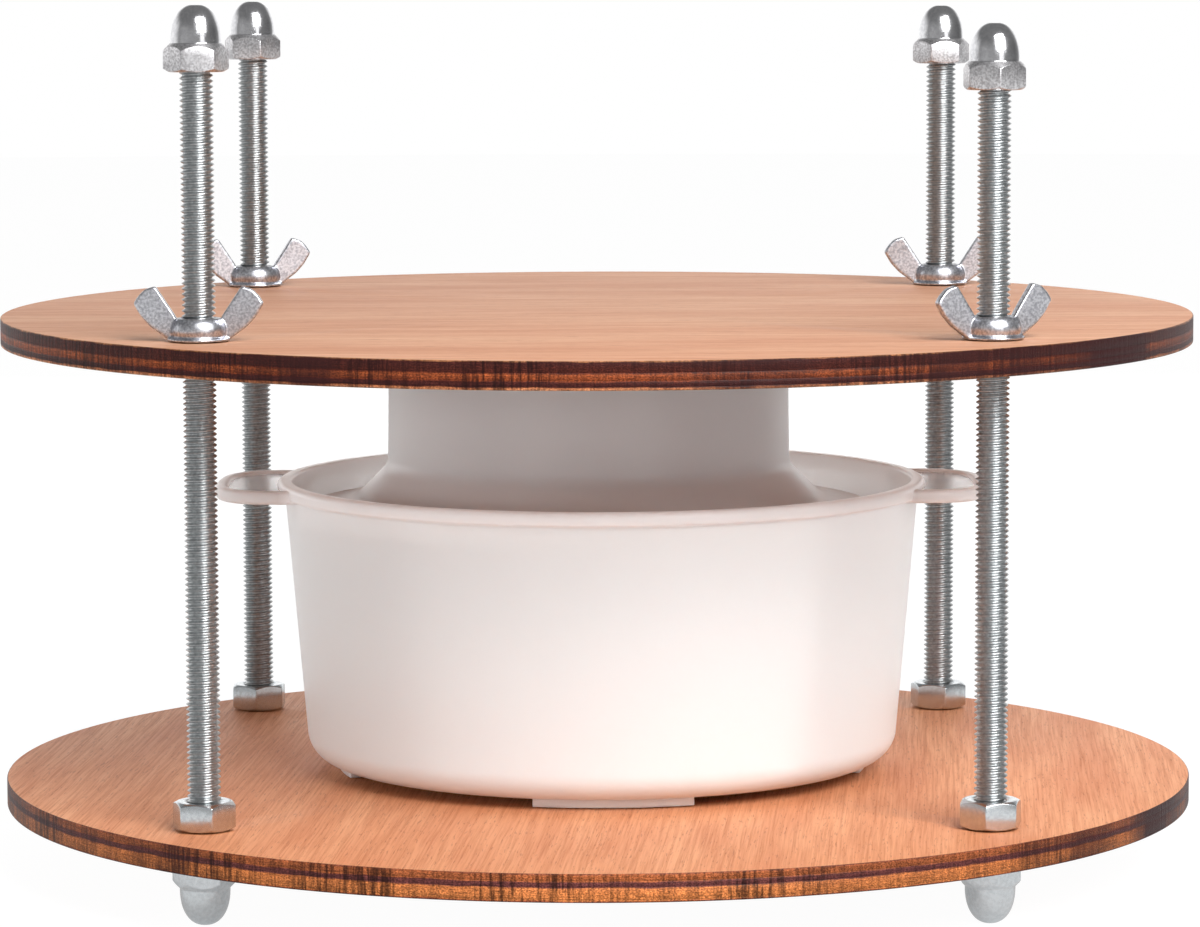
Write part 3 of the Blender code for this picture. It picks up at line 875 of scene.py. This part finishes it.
def makePlastic(name, look, grain):
    material, tree, shader, objectPlace = newMaterial(name)
    waves, grit = [noiseAt(tree, objectPlace, (grain[size],) * 3, detail=2.0)
                   for size in ("wave", "grit")]
    colour = look["colour"]
    if "paintedEarShade" in look:
        # Painted shade: the milky plastic is coloured greyer out past the rim, on the collar's
        # outer face and at the ears, which lie in shade under the upper disc
        level = addNode(tree, "VectorMath", {0: objectPlace, 1: (1, 1, 0)},
                        operation="MULTIPLY")
        fromAxis = addNode(tree, "VectorMath", {0: level}, operation="LENGTH")
        rim = mouldSizes["rimRadius"]
        paintedEarShade = addNode(tree, "MapRange", {
            "Value": fromAxis.outputs["Value"],
            "From": (rim, rim + 2 * mouldSizes["collarWidth"])})
        colour = addNode(tree, "Mix", {"Factor": paintedEarShade, "A": colour, "B": look["paintedEarShade"]},
                         data_type="RGBA")
    faintGrit = addNode(tree, "Math", {0: grit, 1: grain["gritShare"]}, operation="MULTIPLY")
    height = addNode(tree, "Math", {0: waves, 1: faintGrit}, operation="ADD")
    rough = addNode(tree, "MapRange", {
        "Value": waves, "From": grain["waxed"], "To": look["rough"]})
    finishMaterial(tree, shader, grain["relief"], height, {
        "Base Color": colour, "Roughness": rough, "IOR": grain["refraction"],
        "Subsurface Weight": look["milk"], "Subsurface Radius": grain["spread"],
        "Subsurface Scale": grain["scatter"] * millimetre,
        "Transmission Weight": look["clear"], "Specular IOR Level": look["gloss"]})
    return material


plastic = {name: makePlastic(name, look, plasticGrain) for name, look in plasticLooks.items()}


def wallRadius(sizes, mouldHeight, height):
    rise = (height - sizes["footHeight"]) / (mouldHeight - sizes["footHeight"])
    return sizes["rimRadius"] - sizes["draft"] * (1 - rise)


def mouldProfile(sizes, top):
    # Up the outside from the floor's middle, over the collar and lip, and down the inside
    corner, wall = sizes["cornerRadius"], sizes["wall"]
    cornerZ = sizes["footHeight"] + corner
    cornerR = wallRadius(sizes, top, cornerZ) - corner
    floorTop = sizes["footHeight"] + sizes["floor"]
    collarR = sizes["rimRadius"] + sizes["collarWidth"]
    under, steps = top - sizes["collarHeight"], sizes["wallSteps"]
    soft, lip = sizes["rimRound"], sizes["lipRadius"]
    tuck = sizes["collarWidth"] / 2
    underR = wallRadius(sizes, top, under - tuck)
    outside = [cornerZ + (under - tuck - cornerZ) * i / steps for i in range(1, steps)]
    within = top - 2 * lip
    inside = [within - (within - floorTop - corner) * i / steps for i in range(steps)]
    return [
        (0, sizes["footHeight"]),
        *arc(cornerR, cornerZ, corner, -90, 0, sizes["cornerSteps"]),
        *[(wallRadius(sizes, top, z), z) for z in outside],
        *reversed(arc(underR + tuck, under - tuck, tuck, 90, 180, 5)),
        *arc(collarR - tuck, under + tuck, tuck, -90, 0, 5)[1:],
        *arc(collarR - soft, top - soft, soft, 0, 90, 8),
        *arc(sizes["rimRadius"] - wall + lip, top - lip, lip, 90, 180, 6),
        *[(wallRadius(sizes, top, z) - wall, z) for z in inside],
        *reversed(arc(cornerR, floorTop + corner - wall, corner - wall, -90, 0, 12)),
        (0, floorTop),
    ]


def earPath(sizes, root):
    # Half a squared-off oval along the middle of the ear's band
    reach = sizes["earReach"] - sizes["earBand"] / 2
    halfWidth = sizes["earWidth"] / 2 - sizes["earBand"] / 2
    angles = [pi * i / sizes["earSteps"] - pi / 2 for i in range(sizes["earSteps"] + 1)]
    return [Vector((root + reach * squaredOff(cos(a), sizes["earSquareness"]),
                    halfWidth * squaredOff(sin(a), sizes["earSquareness"]))) for a in angles]


def earWebMesh(sizes, top, side):
    # The thin floor of the ear, from its band back to the middle of the mould's wall
    root = sizes["rimRadius"] - sizes["wall"] / 2
    path = earPath(sizes, root)
    half = degrees(asin(path[-1].y / root))
    outline = [tuple(point) for point in path] + arc(0, 0, root, half, -half, 24)
    low = top - sizes["earDrop"] - sizes["earThickness"]
    mesh = skinned("earWeb", [[(side * x, side * y, z) for x, y in outline]
                              for z in (low, low + sizes["earWeb"])])
    for name in ("milkyPolypropylene", "earWebPolypropylene"):
        mesh.materials.append(plastic[name])
    for face in mesh.polygons:
        face.material_index = 1
    return mesh


def earMesh(sizes, top, side):
    # A rounded band swept out of the collar, round the oval and back
    root = sizes["rimRadius"] - sizes["wall"] / 2
    start = root - sizes["earRoot"]
    path = earPath(sizes, root)
    path = [Vector((start, path[0].y)), *path, Vector((start, path[-1].y))]
    middle = top - sizes["earDrop"] - sizes["earThickness"] / 2
    section = [(squaredOff(x, sizes["bandSquareness"]) / 2,
                squaredOff(y, sizes["bandSquareness"]) / 2)
               for x, y, _ in circleRing(1, 0, sizes["bandSteps"])]
    rings = []
    for i, point in enumerate(path):
        ahead = path[min(i + 1, len(path) - 1)] - path[max(i - 1, 0)]
        outward = Vector((ahead.y, -ahead.x)).normalized()
        nearness = max(0, 1 - (point.x - start) / sizes["earSpreadReach"])
        spread = 1 + sizes["earSpread"] * nearness ** 2
        rings.append([(side * (point.x + outward.x * u * sizes["earBand"] * spread),
                       side * (point.y + outward.y * u * sizes["earBand"] * spread),
                       middle + v * sizes["earThickness"]) for u, v in section])
    return skinned("ear", rings)


def footMesh(sizes, top, index):
    cornerZ = sizes["footHeight"] + sizes["cornerRadius"]
    outer = wallRadius(sizes, top, cornerZ) - sizes["cornerRadius"]
    inner = outer - sizes["footWidth"]
    middle = -90 + sizes["footTurn"] + 360 / sizes["footCount"] * index
    half = sizes["footSweep"] / 2
    soft, inFloor = sizes["footRound"], sizes["footHeight"] + sizes["floor"] / 2
    section = [(inner, inFloor), *arc(inner + soft, soft, soft, 180, 270, 3),
               *arc(outer - soft, soft, soft, -90, 0, 3), (outer, inFloor)]
    steps = sizes["footSteps"]
    turns = [radians(middle - half + sizes["footSweep"] * i / steps) for i in range(steps + 1)]
    return skinned("foot", [[(r * cos(a), r * sin(a), z) for r, z in section] for a in turns])


def drainTree(values, rings):
    tree, given, result = newTree("drainPattern", values)
    join = addNode(tree, "GeometryNodeJoinGeometry")
    for ring in range(rings + 1):
        if ring:
            count, radius = [addNode(tree, "Math", {
                0: given[label], 1: float(ring)}, operation="MULTIPLY")
                for label in ("Drains Per Ring", "Ring Spacing")]
            seats = addNode(tree, "GeometryNodeMeshCircle",
                            {"Vertices": count, "Radius": radius}, fill_type="NONE")
        else:
            seats = addNode(tree, "GeometryNodeMeshLine", {"Count": 1})
        tree.links.new(seats.outputs["Mesh"], join.inputs[0])
    drill = addNode(tree, "GeometryNodeMeshCylinder", {
        "Vertices": given["Segments"], "Radius": given["Drain Radius"],
        "Depth": given["Depth"]})
    drills = addNode(tree, "GeometryNodeInstanceOnPoints", {
        "Points": join, "Instance": drill.outputs["Mesh"]})
    middle = addNode(tree, "CombineXYZ", {"Z": given["Middle Height"]})
    lifted = addNode(tree, "GeometryNodeTransform", {"Geometry": drills, "Translation": middle})
    return finishTree(tree, result, lifted, (given["Finish"], True))


def makeMould(sizes):
    low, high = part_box("cheese_mould")
    top = high.z - low.z
    milky = plastic["milkyPolypropylene"]
    mould = newObject("mouldShell", turned("mouldShell", mouldProfile(sizes, top),
                                           sizes["segments"]), milky)
    mould.data.materials.append(plastic["earWebPolypropylene"])
    tools = [newObject("ear", earMesh(sizes, top, side)) for side in (-1, 1)]
    tools += [newObject("earWeb", earWebMesh(sizes, top, side)) for side in (-1, 1)]
    tools += [newObject("foot", footMesh(sizes, top, i)) for i in range(sizes["footCount"])]
    combine(mould, "UNION", *tools)
    values = {**drainSizes, "Depth": sizes["floor"] * 2, "Finish": milky,
              "Middle Height": sizes["footHeight"] + sizes["floor"] / 2}
    drills = grownByNodes("drainDrills", drainTree(values, drainRings), values)
    combine(mould, "DIFFERENCE", newObject("drainDrills", drills))
    mould.data.transform(Matrix.Translation((sizes["shift"], 0, low.z)))
    shade(mould.data, sizes["sharpOver"])
    place(mould, "mould", "mould_plastic", "cheese_mould")
    return top


def pistonProfile(sizes, mould, top, mouldTop):
    # Up the outside from the middle of the pressing face, and down the inside
    wall, corner, lip = sizes["wall"], sizes["cornerRadius"], sizes["lipRound"]

    def bodyRadius(height):
        overFeet = mould["footHeight"] + mould["floor"] + sizes["seatGap"] + height
        return (wallRadius(mould, mouldTop, overFeet) - mould["wall"] - sizes["shift"]
                - sizes["clearance"])

    cornerR = bodyRadius(corner) - corner
    edge = sizes["edgeRadius"]
    edgeR = bodyRadius(sizes["shoulderHeight"]) - edge
    edgeZ = sizes["shoulderHeight"] - edge
    flareR = bodyRadius(sizes["shoulderHeight"]) - sizes["shoulderWidth"]
    flareZ = sizes["shoulderHeight"] + sizes["slopeHeight"]
    neckR = flareR - sizes["flareWidth"]
    neckZ = flareZ + sizes["flareHeight"]
    outer = [(0, 0), *arc(cornerR, corner, corner, -90, 0, 12),
             *arc(edgeR, edgeZ, edge, 0, sizes["edgeDegrees"], 8)]
    # The kinks at the flare's two ends are moulded soft
    kinks = [Vector(outer[-1]), Vector((flareR, flareZ)),
             Vector((neckR + sizes["neckTaper"], neckZ)), Vector((neckR, top - lip))]
    for i, soft in ((1, sizes["flareRound"]), (2, sizes["neckRound"])):
        outer += [tuple(point) for point in roundedCorner(*kinks[i - 1:i + 2], soft, 6)]
    return [
        *outer,
        *arc(neckR - lip, top - lip, lip, 0, 90, 4),
        *arc(neckR - wall + lip, top - lip, lip, 90, 180, 4),
        (neckR + sizes["neckTaper"] - wall, neckZ - wall / 2),
        (flareR - wall / 2, flareZ - wall),
        (edgeR, sizes["shoulderHeight"] - wall),
        (bodyRadius(edgeZ - wall) - wall, edgeZ - wall),
        *reversed(arc(cornerR, sizes["floor"] + corner - wall, corner - wall, -90, 0, 10)),
        (0, sizes["floor"]),
    ]


def makePiston(sizes, mould, mouldTop):
    low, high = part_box("piston")
    mesh = turned("pistonShell", pistonProfile(sizes, mould, high.z - low.z, mouldTop),
                  sizes["segments"])
    mesh.transform(Matrix.Translation((mould["shift"] - sizes["shift"], 0, low.z)))
    piston = newObject("pistonShell", mesh, plastic["greyedPolypropylene"])
    shade(mesh, sizes["sharpOver"])
    place(piston, "piston", "piston_plastic", "piston")


mouldTop = makeMould(mouldSizes)
makePiston(pistonSizes, mouldSizes, mouldTop)
print("mould and piston made")


# Studio: a white floor and background, one large softbox at the front right with a small one
# under it, and weaker ones at both sides, the front left and behind. In the metal the room is
# bright behind and at the left, and dark in front, at the right and overhead.

studio = {
    "aim": (0, 0, 0.09),
    # Softboxes: degrees to the right of the camera's side and up, width and height in metres,
    # watts, whether the metal mirrors it, and whether it lights the rest
    "lamps": {
        "keySoftbox": (28, 37, 0.85, 0.8, 29.0, True, True),
        "keySkirt": (29, 7, 0.42, 0.35, 0.6, True, False),
        "rightSoftbox": (100, 6, 0.6, 0.4, 4.5, False, True),
        "leftSoftbox": (-100, 8, 0.6, 0.4, 2.2, False, True),
        "fillSoftbox": (-38, 5, 0.9, 0.3, 5.0, False, True),
        "backSoftbox": (180, 12, 1.4, 0.5, 12.0, False, True),
    },
    "lampDistance": 1.3,
    # Grey of the room round the horizon: degrees to the right of the camera's side
    "room": [(-180, 1.3), (-112, 1.3), (-92, 0.90), (-78, 0.36), (-55, 0.50), (0, 0.38),
             (60, 0.22), (105, 0.17), (126, 0.34), (140, 1.3), (180, 1.3)],
    "ceiling": 0.24,
    "ceilingFrom": (0.20, 0.60),  # where walls turn into ceiling, as the sine of the rise
    "board": "#b9b9b9",
    "floorRadius": 4,
    "floorSegments": 96,
    "glow": 1.10,
    "floorGlow": 0.88,              # share of the board's own white that the camera sees
    "mirroredGlow": 0.45,           # and that metal mirrors
}


def makeLamp(name, lamp, look):
    turn, rise, width, height, watts, mirrored, lights = lamp
    turn, rise = radians(turn), radians(rise)
    towards = Vector((sin(turn) * cos(rise), -cos(turn) * cos(rise), sin(rise)))
    data = settle(bpy.data.lights.new(name, "AREA"), shape="RECTANGLE", size=width,
                  size_y=height, energy=watts)
    softbox = settle(bpy.data.objects.new(name, data),
                     location=Vector(look["aim"]) + towards * look["lampDistance"],
                     rotation_euler=towards.to_track_quat("Z", "Y").to_euler(),
                     visible_camera=False, visible_glossy=mirrored, visible_diffuse=lights)
    bpy.context.collection.objects.link(softbox)


def whiteRays(tree):
    # The tree's Light Path, and 1 for the rays that see plain white, also through clear plastic
    ray = addNode(tree, "LightPath").outputs
    return ray, addNode(tree, "Math", {
        0: ray["Is Camera Ray"], 1: ray["Is Transmission Ray"]}, operation="MAXIMUM")


def makeRoom(look):
    world = bpy.data.worlds.new("studioRoom")
    world.use_nodes = True
    bpy.context.scene.world = world
    tree = world.node_tree
    tree.nodes.clear()
    around = addNode(tree, "TexCoord").outputs["Generated"]
    direction = addNode(tree, "SeparateXYZ", {"Vector": around}).outputs
    towardsCamera = addNode(tree, "Math", {0: direction["Y"], 1: -1.0}, operation="MULTIPLY")
    turn = addNode(tree, "Math", {0: direction["X"], 1: towardsCamera}, operation="ARCTAN2")
    share = addNode(tree, "MapRange", {"Value": turn, "From": (-pi, pi)})
    walls = addNode(tree, "ValToRGB", {"Fac": share},
                    stops=[((at + 180) / 360, amount) for at, amount in look["room"]])
    overhead = addNode(tree, "MapRange", {
        "Value": direction["Z"], "From": look["ceilingFrom"]}, interpolation_type="SMOOTHSTEP")
    room = addNode(tree, "Mix", {
        "Factor": overhead, "A": walls, "B": (look["ceiling"],) * 3 + (1,)}, data_type="RGBA")
    seen = addNode(tree, "Mix", {
        "Factor": whiteRays(tree)[1], "A": room, "B": "#ffffff"}, data_type="RGBA")
    background = addNode(tree, "Background", {"Color": seen, "Strength": 1.0})
    addNode(tree, "OutputWorld", {"Surface": background})


def makeFloor(look):
    # Matt white board: what the camera sees of it is mostly its own white, so only a faint
    # shadow of the press stays on it
    material, tree, *_ = newMaterial("whiteStudioFloor")
    tree.nodes.clear()
    board = addNode(tree, "BsdfDiffuse", {"Color": look["board"]})
    glow = addNode(tree, "Emission", {"Color": "#ffffff", "Strength": look["glow"]})
    ray, white = whiteRays(tree)
    mirrored = addNode(tree, "Math", {
        0: ray["Is Glossy Ray"], 1: look["mirroredGlow"]}, operation="MULTIPLY")
    share = addNode(tree, "Math", {0: white, 1: look["floorGlow"], 2: mirrored},
                    operation="MULTIPLY_ADD", use_clamp=True)
    mixed = addNode(tree, "MixShader", {0: share, 1: board, 2: glow})
    addNode(tree, "OutputMaterial", {"Surface": mixed})
    mesh = bpy.data.meshes.new("studioFloor")
    edge = circleRing(look["floorRadius"], 0, look["floorSegments"])
    mesh.from_pydata(edge, [], [range(len(edge))])
    newObject("studioFloor", mesh, material)


for name, lamp in studio["lamps"].items():
    makeLamp(name, lamp, studio)
makeRoom(studio)
makeFloor(studio)
bpy.context.scene.view_settings.view_transform = "Standard"
print("studio set")
